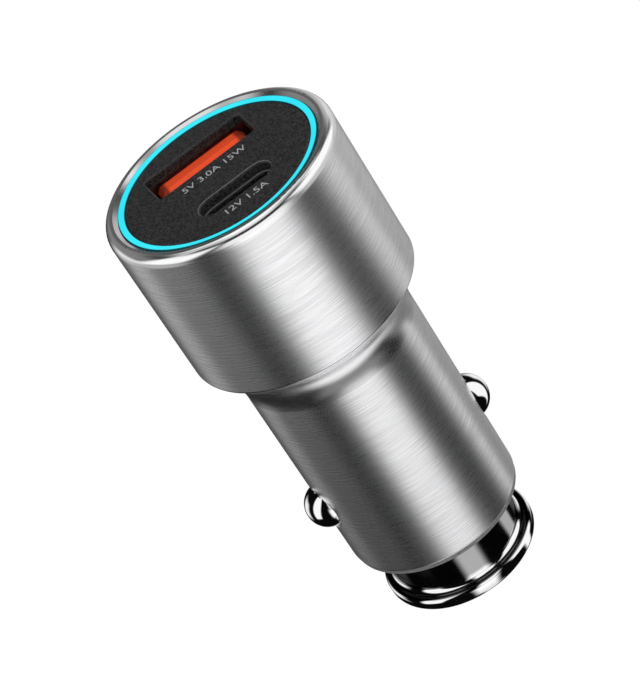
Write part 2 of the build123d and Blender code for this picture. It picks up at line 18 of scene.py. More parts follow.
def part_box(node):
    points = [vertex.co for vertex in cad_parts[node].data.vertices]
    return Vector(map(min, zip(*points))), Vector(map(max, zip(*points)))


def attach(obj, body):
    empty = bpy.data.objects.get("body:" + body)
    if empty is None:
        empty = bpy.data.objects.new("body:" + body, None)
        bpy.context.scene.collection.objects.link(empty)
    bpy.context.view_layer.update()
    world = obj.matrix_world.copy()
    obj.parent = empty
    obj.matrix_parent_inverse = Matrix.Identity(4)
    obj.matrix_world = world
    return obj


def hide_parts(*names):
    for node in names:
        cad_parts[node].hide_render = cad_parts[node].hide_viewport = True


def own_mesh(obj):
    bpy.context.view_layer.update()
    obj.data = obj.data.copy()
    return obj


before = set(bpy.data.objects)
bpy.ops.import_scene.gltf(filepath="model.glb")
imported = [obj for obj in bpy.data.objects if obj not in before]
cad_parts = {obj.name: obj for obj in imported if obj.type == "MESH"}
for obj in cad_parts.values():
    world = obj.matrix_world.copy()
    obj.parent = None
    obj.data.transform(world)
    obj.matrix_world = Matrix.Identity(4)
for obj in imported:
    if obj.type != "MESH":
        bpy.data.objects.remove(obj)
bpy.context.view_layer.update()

bl_info = {
    "name": "Car charger plug",
    "version": (1, 0, 0),
    "blender": (4, 5, 0),
    "location": "View3D > Sidebar > Charger",
    "description": "Dresses the charger's solids and sets its stage",
    "category": "Object",
}

ROOT = "charger_body"
X_AXIS = Vector((1, 0, 0))
Y_AXIS = Vector((0, 1, 0))
Z_AXIS = Vector((0, 0, 1))
MM = 0.001

# Range that most of a noise lies in
NOISE_LOW = 0.3
NOISE_HIGH = 0.7

# Depth of the bump of lines and of grain, and the gloss of plastic
LINE_DEPTH = 0.02 * MM
GRAIN_DEPTH = 0.05 * MM
PLASTIC_GLOSS = 0.35

# Share of a wall's slope that points away from the axis where the wall was turned
TURNED_SHARE = 0.995

# How the flare fades into the brushed walls, where a highlight is painted into the colour under the head, and
# how strong the painted highlight is there and at the barrel's end
FOOT_FADE = 0.6 * MM
HEAD_FADE = 0.1 * MM
PAINTED_GLEAM_START = 1.7 * MM
PAINTED_GLEAM_END = 0.9 * MM
PAINTED_GLEAM = 0.17

# Fades of the band of painted shade on the tip ring, where a groove's shade would fall, from the flange's top
GROOVE_SHADE_BOTTOM = (-0.22 * MM, -0.14 * MM)
GROOVE_SHADE_TOP = (0.06 * MM, 0.12 * MM)

# Face: depth of the plate's own surface and reach of its cut-outs, which bound the painted highlight round
# the cut-outs, and fade of the lit ring
FACE_SKIN = 0.012 * MM
CUT_OUT_REACH = 10.4 * MM
LIT_FADE = 0.04 * MM

# Print: share of a text's size that a capital takes, half its thickness, its middle over the face
CAPITAL_SHARE = 0.7
PRINT_DEPTH = 0.004 * MM
PRINT_LIFT = 0.006 * MM

# Meshes: distance for merging, angle of a sharp edge, steps of domes and coils
MERGE_DISTANCE = 0.0005 * MM
SHARP_ANGLE = math.radians(32)
DOME_STEPS = 28
NOSE_STEPS = 24
COIL_STEPS = 40
WIRE_SIDES = 14

# Stage: white, the tents' level between panels, and the camera's sensor in millimetres
WHITE = (1, 1, 1, 1)
DARK_CLOTH = 0.003
SENSOR_WIDTH = 36

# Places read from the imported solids
rim_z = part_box("outer_shell")[1].z
barrel_end_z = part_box("outer_shell")[0].z
face_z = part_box("face_plate")[1].z
nose_flange_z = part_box("tip_ring")[1].z
tip_ring_end_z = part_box("tip_ring")[0].z
side_contact_z = (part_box("side_contact_right")[0].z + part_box("side_contact_right")[1].z) / 2
socket_mouth_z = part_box("usb_c_shell")[1].z
tongue_end_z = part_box("usb_a_insulator")[1].z

# Panels of the tent: the side its angles are counted from, left and right edge, their softness, slant of the
# right edge, bottom and top edge, their softness, tilt of the bottom edge, brightness (angles in degrees)
PANEL_INPUTS = ("Left", "Right", "Side", "Slant", "Bottom", "Top", "End", "Tilt", "Brightness")
PANELS = (
    ("front", -110, -66, 7, 0.45, 6, 56, 9, 0, 1.15),
    ("front", -110, -62, 8, 0.2, -22, 2, 9, 0, 0.42),
    ("front", -108, -62, 8, 0, -34, -8, 8, 0, 0.16),
    ("front", 50, 122, 6, 0, 12, 57, 9, -0.15, 1.15),
    ("front", 50, 114, 4, 0, -11, 5, 8, -0.58, 0.70),
    ("front", -143, -108, 9, 0, -4, 14, 9, 0, 0.85),
    ("front", -143, -112, 9, 0, -34, -6, 9, 0, 0.52),
    ("front", 116, 152, 9, 0, -33, 14, 11, 0, 0.64),
    ("front", 150, 170, 6, 0, -14, 6, 5, 0, 0.5),
    ("front", -33, 38, 8, 0, 8, 47, 8, 0, 1.12),
    ("front", -23, 36, 10, 0, -36, 8, 12, 0, 1.22),
    ("front", -15, 30, 9, 0, -45, -36, 12, 0, 0.9),
    ("front", -50, 55, 15, 0, -68, -46, 9, 0, 0.25),
    ("front", -200, 200, 1, 0, -95, -72, 7, 0, 1.15),
    ("front", 104, 150, 12, 0, -74, -58, 6, 0, 0.5),
    ("front", -150, -104, 12, 0, -74, -60, 6, 0, 0.1),
    ("front", 92, 165, 8, 0, -58, -38, 6, 0, 0.2),
    ("front", -170, -70, 10, 0, -66, -36, 8, 0, 0.016),
    ("front", 104, 150, 6, 0, 50, 68, 6, 0, 0.6),
    ("front", -146, -102, 6, 0, 56, 70, 6, 0, 0.65),
    ("front", -165, -112, 6, 0, 10, 46, 6, 0, 0.12),
    ("front", 136, 166, 6, 0, 8, 32, 6, 0, 0.4),
    ("rear", -12, 12, 8, 0, -80, -44, 8, 0, 0.9),
    ("rear", -32, 0, 5, 0, -42, -12, 4, 0, 0.2),
    ("rear", -60, 60, 8, 0, -10, 42, 6, 0, 0.12),
    ("rear", -32, 32, 8, 0, 53, 80, 6, 0, 1.05),
    ("front", -200, 200, 1, 0, 73, 95, 8, 0, 0.9),
)

# Panels of the smaller tent that the chromed pieces alone reflect, in the same order
CHROME_PANELS = (
    ("front", -88, -55, 4, 0.31, -27, 68, 4, 0, 1.1),
    ("front", -145, -116, 8, 0, -30, 12, 8, 0, 1.0),
    ("front", -16, 21, 7, 0, -46, 3, 12, 0, 1.2),
    ("front", -8, 14, 6, 0.4, 8, 84, 8, 0, 1.1),
    ("front", -8, 30, 8, 0, -78, -50, 8, 0, 1.0),
    ("front", 48, 106, 4, 0, -1, 60, 5, -1.0, 1.1),
    ("front", 128, 158, 8, 0, -32, 12, 8, 0, 1.0),
    ("front", 158, 170, 6, 0, -40, 5, 6, 0, 0.35),
    ("front", -164, -142, 6, 0, 52, 66, 5, 0, 1.0),
    ("front", 130, 170, 8, 0, 48, 66, 6, 0, 1.0),
    ("rear", -14, 18, 8, 0, -78, -45, 8, 0, 0.9),
    ("rear", -12, 12, 8, 0, -45, -22, 8, 0, 0.35),
)
# Pieces that are chromed
CHROMED = ("cap_right", "cap_left", "ring", "tip")


# Properties


def colour_property(name, description, default):
    return FloatVectorProperty(
        name=name, description=description, default=default, subtype="COLOR", size=3, min=0, max=1
    )


def length_property(name, description, default):
    return FloatProperty(
        name=name, description=description, default=default, unit="LENGTH", precision=5, min=0
    )


def place_property(name, description, default):
    return FloatProperty(name=name, description=description, default=default, unit="LENGTH", precision=5)


def angle_property(name, description, degrees):
    angle = math.radians(degrees)
    return FloatProperty(name=name, description=description, default=angle, subtype="ANGLE")


class CHARGER_PG_shell(PropertyGroup):
    """Finish of the turned shell"""

    metal: colour_property("Metal", "Colour of the bare metal", (0.86, 0.86, 0.87))
    line_length: length_property("Line length", "Length of a brush line", 5 * MM)
    line_spacing: length_property("Line spacing", "Distance between brush lines", 0.15 * MM)
    rim_depth: length_property("Rim depth", "Height of the polished rim", 1.1 * MM)
    flare_top: length_property("Flare top", "Height where the smooth flare ends", 6.3 * MM)
    # The edge at the barrel's end also carries a painted highlight in the shell's colour
    end_depth: length_property("End depth", "Height of the polished edge at the barrel's end", 0.3 * MM)


class CHARGER_PG_face(PropertyGroup):
    """Lit ring, face plate and print"""

    glow: colour_property("Glow", "Colour of the lit ring", (0.022, 0.76, 0.90))
    lit_start: length_property("Lit start", "Radius where the lit part of the ring starts", 10.97 * MM)
    lit_end: length_property("Lit end", "Radius where the lit part of the ring ends", 11.60 * MM)
    plate: colour_property("Plate", "Colour of the face plate", (0.0145, 0.0145, 0.015))
    # Painted highlight round the cut-outs: its two colours and its height
    grain: length_property("Grain", "Size of the face plate's grain", 0.2 * MM)
    wide_painted_highlight: colour_property("Wide edge", "Colour of the larger cut-out's edge", (0.05, 0.05, 0.05))
    slim_painted_highlight: colour_property("Slim edge", "Colour of the smaller cut-out's edge", (0.16, 0.16, 0.16))
    highlight_depth: length_property("Edge depth", "Height of the bright edge round the cut-outs", 0.06 * MM)
    print_colour: colour_property("Print", "Colour of the printed ratings", (0.42, 0.42, 0.43))
    print_height: length_property("Print height", "Height of a printed row", 1.02 * MM)
    upper_row: StringProperty(
        name="Upper row", description="Print between the sockets", default="5V 3.0A 15W"
    )
    lower_row: StringProperty(name="Lower row", description="Print below the sockets", default="12V 1.5A")
    upper_row_y: place_property("Upper row place", "Middle of the upper row along Y", 0.75 * MM)
    lower_row_y: place_property("Lower row place", "Middle of the lower row along Y", -7.75 * MM)


class CHARGER_PG_sockets(PropertyGroup):
    """Finish of both sockets"""

    # The larger socket's steel is darkened and tinted red: painted shade in the socket's hollow and painted
    # red bounce light from the orange tongue
    steel: colour_property("Steel", "Colour of the larger socket's shell", (0.38, 0.20, 0.18))
    bright_steel: colour_property("Bright steel", "Colour of the smaller socket's shell", (0.75, 0.75, 0.76))
    sheared: colour_property("Sheared edge", "Colour of the smaller socket's matt mouth", (0.13, 0.13, 0.13))
    tongue_length: length_property("Tongue length", "Length of the larger socket's tongue", 11.1 * MM)
    tongue_bevel: length_property("Tongue bevel", "Bevel at the end of the larger socket's tongue", 0.55 * MM)
    tongue: colour_property("Tongue", "Colour of the larger socket's tongue", (1.0, 0.095, 0.024))
    black: colour_property("Black", "Colour of the smaller socket's tongue", (0.012, 0.012, 0.013))
    gold: colour_property("Gold", "Colour of the pins", (0.83, 0.60, 0.24))


class CHARGER_PG_contacts(PropertyGroup):
    """Side contacts, centre contact, tip ring and springs"""

    nickel: colour_property("Nickel", "Colour of the bright plating", (0.86, 0.86, 0.87))
    wire: colour_property("Wire", "Colour of the spring wire", (0.60, 0.60, 0.61))
    steps: IntProperty(name="Steps", description="Faces round a turned piece", default=160, min=24)
    side_radius: length_property("Side radius", "Radius of a side contact", 2.7 * MM)
    side_flange: length_property("Side flange", "Radius of a side contact's flange", 3.2 * MM)
    side_flange_height: length_property("Flange height", "Height of a side contact's flange", 0.6 * MM)
    side_round: length_property("Side round", "Round on a side contact's edges", 0.12 * MM)
    side_wall: length_property("Side wall", "Wall of a side contact", 0.6 * MM)
    centre_radius: length_property("Centre radius", "Radius of the centre contact", 3.9 * MM)
    centre_flange: length_property("Centre flange", "Radius of the centre contact's flange", 4.6 * MM)
    centre_wall: length_property("Centre wall", "Wall of the centre contact", 0.8 * MM)
    centre_dome: length_property("Centre dome", "Height of the centre contact's round nose", 2.6 * MM)
    flange_thickness: length_property("Flange thickness", "Height of the centre contact's flange", 0.8 * MM)
    ring_neck: length_property("Ring neck", "Radius of the tip ring's neck", 8.0 * MM)
    ring_bore: length_property("Ring bore", "Radius of the tip ring's thread", 6.65 * MM)
    ring_lip_bore: length_property("Lip bore", "Radius of the hole in the tip ring's lip", 3.98 * MM)
    ring_lip: length_property("Lip", "Thickness of the tip ring's lip", 1.5 * MM)
    ring_flange: length_property("Ring flange", "Height of the tip ring's rounded flange", 1.8 * MM)
    ring_round: length_property("Ring round", "Radius of the flange's edges", 0.6 * MM)
    ring_foot: length_property("Ring foot", "Radius of the hollow between neck and flange", 0.6 * MM)
    side_wire: length_property("Side wire", "Wire of a side spring", 0.4 * MM)
    centre_wire: length_property("Centre wire", "Wire of the centre spring", 0.6 * MM)
    open_turns: IntProperty(
        name="Open turns", description="Turns of a spring between its closed ends", default=3, min=1
    )


class CHARGER_PG_inside(PropertyGroup):
    """Boards, circuit pieces, core and nose"""

    mask: colour_property("Mask", "Colour of the boards", (0.012, 0.10, 0.045))
    plastic: colour_property("Plastic", "Colour of the moulded core", (0.03, 0.03, 0.032))
    nose: colour_property("Nose", "Colour of the nose insulator", (0.20, 0.20, 0.205))
    brass: colour_property("Brass", "Colour of the positive terminal", (0.78, 0.56, 0.25))
    fuse_cap: length_property("Fuse cap", "Length of a plated end of the fuse", 1.4 * MM)


class CHARGER_PG_stage(PropertyGroup):
    """Camera, tent, lamps and floor"""

    azimuth: angle_property("Azimuth", "Camera's turn round the axis", -7.4)
    elevation: angle_property("Elevation", "Camera above the face", 33.527)
    roll: angle_property("Roll", "Camera's turn about its own axis", -33.149)
    distance: length_property("Distance", "From the face's centre to the camera", 308.694 * MM)
    across: place_property("Across", "Camera's place to its right", 10.6698 * MM)
    upward: place_property("Upward", "Camera's place upwards", -18.172 * MM)
    lens: FloatProperty(name="Lens", description="Focal length in millimetres", default=154.585)
    tent_radius: length_property("Tent radius", "Radius of the reflected tent", 1500 * MM)
    chrome_tent_radius: length_property("Chrome tent", "Radius of the tent that chrome reflects", 1200 * MM)
    floor_z: place_property("Floor", "Height of the floor", -260 * MM)
    floor_radius: length_property("Floor radius", "Radius of the round floor", 6000 * MM)
    lamp_power: FloatProperty(name="Lamps", description="Power of the lamps", default=1.1, subtype="POWER")


# Shader helpers


def give(tree, socket, value):
    """Links a node's output to a socket, or sets the socket's own value."""
    if isinstance(value, NodeSocket):
        tree.links.new(value, socket)
    else:
        socket.default_value = value


def add(tree, kind, inputs=None, **settings):
    """Adds a node, sets its settings, and links or sets its inputs."""
    node = tree.nodes.new(kind)
    for name, value in settings.items():
        setattr(node, name, value)
    for name, value in (inputs or {}).items():
        give(tree, node.inputs[name], value)
    return node


def feed(tree, node, **inputs):
    """Links or sets a node's inputs, named with underscores."""
    for name, value in inputs.items():
        give(tree, node.inputs[name.replace("_", " ")], value)


def maths(tree, operation, first, second=0.0):
    return add(tree, "ShaderNodeMath", {0: first, 1: second}, operation=operation).outputs[0]


def product(tree, first, *others):
    """Multiplies two or more values."""
    for other in others:
        first = maths(tree, "MULTIPLY", first, other)
    return first


def total(tree, first, *others):
    """Adds up two or more values."""
    for other in others:
        first = maths(tree, "ADD", first, other)
    return first


def vectors(tree, operation, first, second=(0, 0, 0)):
    inputs = {0: first, "Scale" if operation == "SCALE" else 1: second}
    result = "Value" if operation in ("LENGTH", "DOT_PRODUCT") else "Vector"
    return add(tree, "ShaderNodeVectorMath", inputs, operation=operation).outputs[result]


def spread(tree, value, low, high, to_low, to_high, **settings):
    """Maps a value from one range to another, held at both ends."""
    inputs = {"Value": value, "From Min": low, "From Max": high, "To Min": to_low, "To Max": to_high}
    return add(tree, "ShaderNodeMapRange", inputs, **settings).outputs["Result"]


def varied(tree, value, to_low, to_high):
    """Maps the range that most of a noise lies in."""
    return spread(tree, value, NOISE_LOW, NOISE_HIGH, to_low, to_high)


def between(tree, mask, outside, inside):
    """The value outside a mask, fading to the value inside it."""
    return spread(tree, mask, 0.0, 1.0, outside, inside)


def tinted(tree, colour, factor):
    """A colour times a factor that changes over the surface."""
    return vectors(tree, "SCALE", tuple(colour[:3]), factor)


def blended(tree, factor, first, second):
    node = add(tree, "ShaderNodeMix", {"Factor": factor}, data_type="RGBA")
    for socket, colour in zip(node.inputs[6:8], (first, second)):
        give(tree, socket, colour if isinstance(colour, NodeSocket) else (*colour[:3], 1))
    return node.outputs[2]


def noise(tree, place, scale, detail, roughness=0.5):
    inputs = {"Vector": place, "Scale": scale, "Detail": detail, "Roughness": roughness}
    return add(tree, "ShaderNodeTexNoise", inputs).outputs["Fac"]


def split(tree, place):
    return add(tree, "ShaderNodeSeparateXYZ", {"Vector": place}).outputs


def axis_distance(tree, place):
    """How far a place is from the part's axis."""
    return vectors(tree, "LENGTH", vectors(tree, "MULTIPLY", place, (1, 1, 0)))


def bumped(tree, height, strength, depth, **normal):
    inputs = {"Height": height, "Strength": strength, "Distance": depth, **normal}
    return add(tree, "ShaderNodeBump", inputs).outputs["Normal"]


def turned_normal(tree, place):
    """The surface's normal, pointed straight away from the axis on turned walls, so that no seam shows."""
    normal = add(tree, "ShaderNodeNewGeometry").outputs["Normal"]
    level = vectors(tree, "MULTIPLY", normal, (1, 1, 0))
    outward = vectors(tree, "NORMALIZE", vectors(tree, "MULTIPLY", place, (1, 1, 0)))
    reach = vectors(tree, "DOT_PRODUCT", level, outward)
    least = product(tree, vectors(tree, "LENGTH", level), TURNED_SHARE)
    turned = maths(tree, "GREATER_THAN", maths(tree, "ABSOLUTE", reach), least)
    straight = vectors(tree, "SCALE", outward, reach)
    shift = vectors(tree, "SCALE", vectors(tree, "SUBTRACT", straight, level), turned)
    return vectors(tree, "NORMALIZE", vectors(tree, "ADD", normal, shift))


def empty_tree(owner):
    """The node tree of a material or a world, with nothing in it."""
    owner.use_nodes = True
    owner.node_tree.nodes.clear()
    return owner.node_tree


def show(tree, shader, kind="ShaderNodeOutputMaterial"):
    """Links a shader to the tree's output."""
    tree.links.new(shader.outputs[0], add(tree, kind).inputs["Surface"])


def new_material(name):
    """A material whose shader has no inputs yet, its tree and its object coordinates."""
    material = bpy.data.materials.new(name)
    tree = empty_tree(material)
    show(tree, add(tree, "ShaderNodeBsdfPrincipled"))
    return material, tree, add(tree, "ShaderNodeTexCoord").outputs["Object"]


def finished(material, **inputs):
    """Gives a material's shader its inputs."""
    tree = material.node_tree
    shader = next(node for node in tree.nodes if node.type == "BSDF_PRINCIPLED")
    feed(tree, shader, **inputs)
    return material


def shared_group(name, inputs, outputs, fill):
    """A shader node group, filled the first time and then used again."""
    tree = bpy.data.node_groups.get(name)
    if tree:
        return tree
    tree = bpy.data.node_groups.new(name, "ShaderNodeTree")
    for label, kind in inputs.items():
        tree.interface.new_socket(label, in_out="INPUT", socket_type="NodeSocket" + kind)
    for label in outputs:
        tree.interface.new_socket(label, in_out="OUTPUT", socket_type="NodeSocketFloat")
    given = tree.nodes.new("NodeGroupInput").outputs
    end = tree.nodes.new("NodeGroupOutput")
    for label, value in zip(outputs, fill(tree, given)):
        tree.links.new(value, end.inputs[label])
    return tree


def use_group(tree, group, **inputs):
    node = add(tree, "ShaderNodeGroup", node_tree=group)
    feed(tree, node, **inputs)
    return node.outputs


def turned_lines():
    """Group: fine lines round the axis, as a lathe or brush leaves them."""

    def fill(tree, given):
        along = maths(tree, "DIVIDE", 1.0, given["Length"])
        across = maths(tree, "DIVIDE", 1.0, given["Spacing"])
        stretch = add(tree, "ShaderNodeCombineXYZ", {"X": along, "Y": along, "Z": across}).outputs[0]
        scaled = vectors(tree, "MULTIPLY", given["Place"], stretch)
        return noise(tree, scaled, 1.0, 1.0, 0.6), noise(tree, scaled, 0.22, 2.0, 0.6)

    inputs = {"Place": "Vector", "Length": "Float", "Spacing": "Float"}
    return shared_group("turned lines", inputs, ("Fine", "Broad"), fill)


def moulded_grain():
    """Group: the fine grain and broad unevenness of moulded plastic."""

    def fill(tree, given):
        scale = maths(tree, "DIVIDE", 1.0, given["Grain"])
        speck = noise(tree, given["Place"], scale, 2.0, 0.65)
        return speck, noise(tree, given["Place"], product(tree, scale, 0.04), 3.0)

    return shared_group("moulded grain", {"Place": "Vector", "Grain": "Float"}, ("Speck", "Cloud"), fill)


def plated_cloud():
    """Group: the trace of unevenness in bright plating."""

    def fill(tree, given):
        cloud = noise(tree, given["Place"], 420.0, 4.0)
        return varied(tree, cloud, 0.97, 1.0), varied(tree, cloud, 0.03, 0.06)

    return shared_group("plated cloud", {"Place": "Vector"}, ("Tone", "Rough"), fill)


def soft_panel():
    """Group: how bright a soft-edged panel of the tent is in a direction, all in degrees."""

    def fill(tree, given):
        right = total(tree, given["Right"], product(tree, given["Slant"], given["Height"]))
        along = maths(tree, "SUBTRACT", given["Angle"], given["Left"])
        bottom = total(tree, given["Bottom"], product(tree, given["Tilt"], along))
        level = given["Brightness"]
        for value, edge, softness, before, after in (
            (given["Angle"], given["Left"], given["Side"], 0.0, 1.0),
            (given["Angle"], right, given["Side"], 1.0, 0.0),
            (given["Height"], bottom, given["End"], 0.0, 1.0),
            (given["Height"], given["Top"], given["End"], 1.0, 0.0),
        ):
            low = maths(tree, "SUBTRACT", edge, softness)
            high = total(tree, edge, softness)
            step = spread(tree, value, low, high, before, after, interpolation_type="SMOOTHSTEP")
            level = product(tree, level, step)
        return (level,)

    inputs = {label: "Float" for label in ("Angle", "Height", *PANEL_INPUTS)}
    return shared_group("soft panel", inputs, ("Level",), fill)


# Materials


def lined(name, length, spacing):
    """A new material, and turned lines for it."""
    material, tree, place = new_material(name)
    lines = use_group(tree, turned_lines(), Place=place, Length=length, Spacing=spacing)
    return material, tree, place, lines


def grained(name, grain):
    """A new material, and moulded grain for it."""
    material, tree, place = new_material(name)
    marks = use_group(tree, moulded_grain(), Place=place, Grain=grain)
    return material, tree, place, marks


def brushed_shell(shell):
    """Turned and brushed metal with a smooth flare, polished on the rim and at the barrel's end, with a
    painted highlight in its colour under the head and at the barrel's end.
    """
    material, tree, place, lines = lined("brushed shell", shell.line_length, shell.line_spacing)
    height = split(tree, place)["Z"]
    rim = spread(tree, height, rim_z - shell.rim_depth, rim_z - 0.3 * shell.rim_depth, 0.0, 1.0)
    end_top = barrel_end_z + shell.end_depth
    end = spread(tree, height, end_top - 0.1 * shell.end_depth, end_top, 1.0, 0.0)
    polished = maths(tree, "MAXIMUM", rim, end)
    top = shell.flare_top
    flare_foot = spread(tree, height, -FOOT_FADE, FOOT_FADE, 0.0, 1.0)
    flare_head = spread(tree, height, top - HEAD_FADE, top + HEAD_FADE, 1.0, 0.0)
    flare = product(tree, flare_foot, flare_head)
    brushed = maths(tree, "SUBTRACT", 1.0, maths(tree, "MAXIMUM", polished, flare))
    streak = total(
        tree,
        varied(tree, lines["Fine"], -0.09, 0.09),
        spread(tree, lines["Broad"], 0.35, 0.65, -0.02, 0.02),
    )
    streak = product(tree, streak, between(tree, brushed, 0.25, 1))
    # Painted highlight: the colour is lifted in a band under the head and at the barrel's end
    inner = spread(tree, height, top - PAINTED_GLEAM_START, top - PAINTED_GLEAM_END, 0.0, PAINTED_GLEAM)
    inner = product(tree, inner, flare_head)
    tone = total(tree, 0.96, streak, inner, product(tree, end, PAINTED_GLEAM))
    rough = varied(tree, lines["Fine"], 0.295, 0.265)
    smoother = product(tree, between(tree, polished, 1, 0.5), between(tree, flare, 1, 0.85))
    marks = product(tree, lines["Fine"], brushed)
    return finished(
        material,
        Base_Color=tinted(tree, shell.metal, tone),
        Metallic=1.0,
        Roughness=product(tree, rough, smoother),
        Anisotropic=0.35,
        Tangent=add(tree, "ShaderNodeTangent", direction_type="RADIAL", axis="Z").outputs[0],
        Normal=bumped(tree, marks, 0.06, LINE_DEPTH, Normal=turned_normal(tree, place)),
    )


def bright_plating(name, colour):
    """Chrome or nickel with a trace of unevenness."""
    material, tree, place = new_material(name)
    cloud = use_group(tree, plated_cloud(), Place=place)
    tone = tinted(tree, colour, cloud["Tone"])
    return finished(material, Base_Color=tone, Metallic=1.0, Roughness=cloud["Rough"])


def ring_plating(contacts):
    """Chrome, bright on the flange, with a band of painted shade at its upper edge, and satin on the turned
    neck, which is darkened with painted shade.
    """
    material, tree, place = new_material("ring chrome")
    cloud = use_group(tree, plated_cloud(), Place=place)
    height = split(tree, place)["Z"]
    flange_top = tip_ring_end_z + contacts.ring_flange
    foot_top = flange_top + contacts.ring_foot
    neck = spread(tree, height, foot_top - 0.1 * MM, foot_top + 0.4 * MM, 0.0, 1.0)
    bottom_edge, top_edge = (
        [flange_top + edge for edge in edges] for edges in (GROOVE_SHADE_BOTTOM, GROOVE_SHADE_TOP)
    )
    # Painted shade: a dark band in the colour where a groove's shade would fall
    painted_groove_shade = product(
        tree, spread(tree, height, *bottom_edge, 0.0, 1.0), spread(tree, height, *top_edge, 1.0, 0.0)
    )
    # Painted shade: the neck's colour is darkened to 0.40 and the band's to 0.12
    tone = product(tree, cloud["Tone"], between(tree, neck, 1, 0.40), between(tree, painted_groove_shade, 1, 0.12))
    return finished(
        material,
        Base_Color=tinted(tree, contacts.nickel, tone),
        Metallic=1.0,
        Roughness=total(tree, cloud["Rough"], between(tree, neck, 0, 0.05)),
    )


def drawn_metal(name, colour, roughness, length, spacing):
    """Sheet or wire with fine lines."""
    material, tree, place, lines = lined(name, length, spacing)
    return finished(
        material,
        Base_Color=tinted(tree, colour, varied(tree, lines["Fine"], 0.86, 1.0)),
        Metallic=1.0,
        Roughness=varied(tree, lines["Broad"], roughness * 0.8, roughness * 1.2),
        Normal=bumped(tree, lines["Fine"], 0.08, LINE_DEPTH),
    )


def face_grain(face):
    """Grained dark plastic with a painted highlight along the edge round each cut-out."""
    material, tree, place, marks = grained("face grain", face.grain)
    parts = split(tree, place)
    below = maths(tree, "LESS_THAN", parts["Z"], face_z - FACE_SKIN)
    above = maths(tree, "GREATER_THAN", parts["Z"], face_z - face.highlight_depth)
    within = maths(tree, "LESS_THAN", axis_distance(tree, place), CUT_OUT_REACH)
    # Painted highlight on the upper edge round each cut-out
    edge = product(tree, below, above, within)
    slim = maths(tree, "LESS_THAN", parts["Y"], 0.0)
    painted_highlight_colour = blended(tree, slim, face.wide_painted_highlight, face.slim_painted_highlight)
    speck = spread(tree, marks["Speck"], 0.42, 0.58, 0.0, 2.2)
    tone = total(tree, speck, varied(tree, marks["Cloud"], -0.06, 0.06))
    return finished(
        material,
        Base_Color=blended(tree, edge, tinted(tree, face.plate, tone), painted_highlight_colour),
        Roughness=varied(tree, marks["Cloud"], 0.46, 0.54),
        Specular_IOR_Level=PLASTIC_GLOSS,
        Normal=bumped(tree, marks["Speck"], 0.3, GRAIN_DEPTH),
    )


def sheared_shell(sockets):
    """Drawn shell whose mouth shows the matt edge that the shears left."""
    material, tree, place, lines = lined("bright socket steel", 4 * MM, 0.3 * MM)
    height = split(tree, place)["Z"]
    mouth = spread(tree, height, socket_mouth_z - 0.04 * MM, socket_mouth_z - 0.02 * MM, 0.0, 1.0)
    tone = varied(tree, lines["Fine"], 0.86, 1.0)
    bright = tinted(tree, sockets.bright_steel, tone)
    matt = tinted(tree, sockets.sheared, tone)
    return finished(
        material,
        Base_Color=blended(tree, mouth, bright, matt),
        Metallic=maths(tree, "SUBTRACT", 1.0, mouth),
        Roughness=varied(tree, lines["Broad"], 0.24, 0.36),
    )


def orange_tongue(sockets):
    """Orange resin, with painted shade on the tongue's end and towards its two sides."""
    material, tree, place, marks = grained("orange tongue", 0.2 * MM)
    parts = split(tree, place)
    half = sockets.tongue_length / 2
    bevel = sockets.tongue_bevel
    # Painted shade on the tongue's end face
    cut = spread(tree, parts["Z"], tongue_end_z - 0.06 * MM, tongue_end_z - 0.01 * MM, 1.0, 0.82)
    away = maths(tree, "ABSOLUTE", parts["X"])
    # Painted shade, darker towards the tongue's two sides
    sides = spread(tree, away, half - 2.2 * bevel, half - 1.5 * bevel, 1.0, 0.25)
    tone = product(tree, varied(tree, marks["Speck"], 0.92, 1.08), cut, sides)
    return finished(
        material,
        Base_Color=tinted(tree, sockets.tongue, tone),
        Roughness=varied(tree, marks["Cloud"], 0.4, 0.5),
        Specular_IOR_Level=PLASTIC_GLOSS,
        Normal=bumped(tree, marks["Speck"], 0.05, GRAIN_DEPTH),
    )


def moulded(name, colour, grain, roughness, depth):
    """Moulded plastic with a fine grain."""
    material, tree, place, marks = grained(name, grain)
    speck = varied(tree, marks["Speck"], 0.72, 1.28)
    tone = total(tree, speck, varied(tree, marks["Cloud"], -0.06, 0.06))
    return finished(
        material,
        Base_Color=tinted(tree, colour, tone),
        Roughness=varied(tree, marks["Cloud"], roughness * 0.92, roughness * 1.08),
        Specular_IOR_Level=PLASTIC_GLOSS,
        Normal=bumped(tree, marks["Speck"], depth, GRAIN_DEPTH),
    )


def lit_acrylic(face):
    """Clear ring lit from below, bright along the middle of its top and dim at its edges."""
    material, tree, place = new_material("lit acrylic")
    cloud = noise(tree, place, 160.0, 1.0)
    mirrored = add(tree, "ShaderNodeLightPath").outputs["Is Glossy Ray"]
    radius = axis_distance(tree, place)
    start = spread(tree, radius, face.lit_start - LIT_FADE, face.lit_start + LIT_FADE, 0.02, 1.0)
    end = spread(tree, radius, face.lit_end - LIT_FADE, face.lit_end + LIT_FADE, 1.0, 0.02)
    top = spread(tree, split(tree, place)["Z"], face_z - 0.3 * MM, face_z - 0.1 * MM, 0.05, 1.0)
    level = product(tree, varied(tree, cloud, 0.94, 1.0), between(tree, mirrored, 1, 0.2))
    return finished(
        material,
        Base_Color=tinted(tree, face.glow, varied(tree, cloud, 0.1, 0.14)),
        Roughness=varied(tree, cloud, 0.3, 0.4),
        Emission_Color=tinted(tree, face.glow, product(tree, level, start, end, top)),
        Emission_Strength=1.0,
    )


def printed_ink(face):
    material, tree, place, marks = grained("printed ink", 0.1 * MM)
    return finished(
        material,
        Base_Color=tinted(tree, face.print_colour, varied(tree, marks["Speck"], 0.75, 1.1)),
        Roughness=varied(tree, marks["Speck"], 0.5, 0.65),
    )


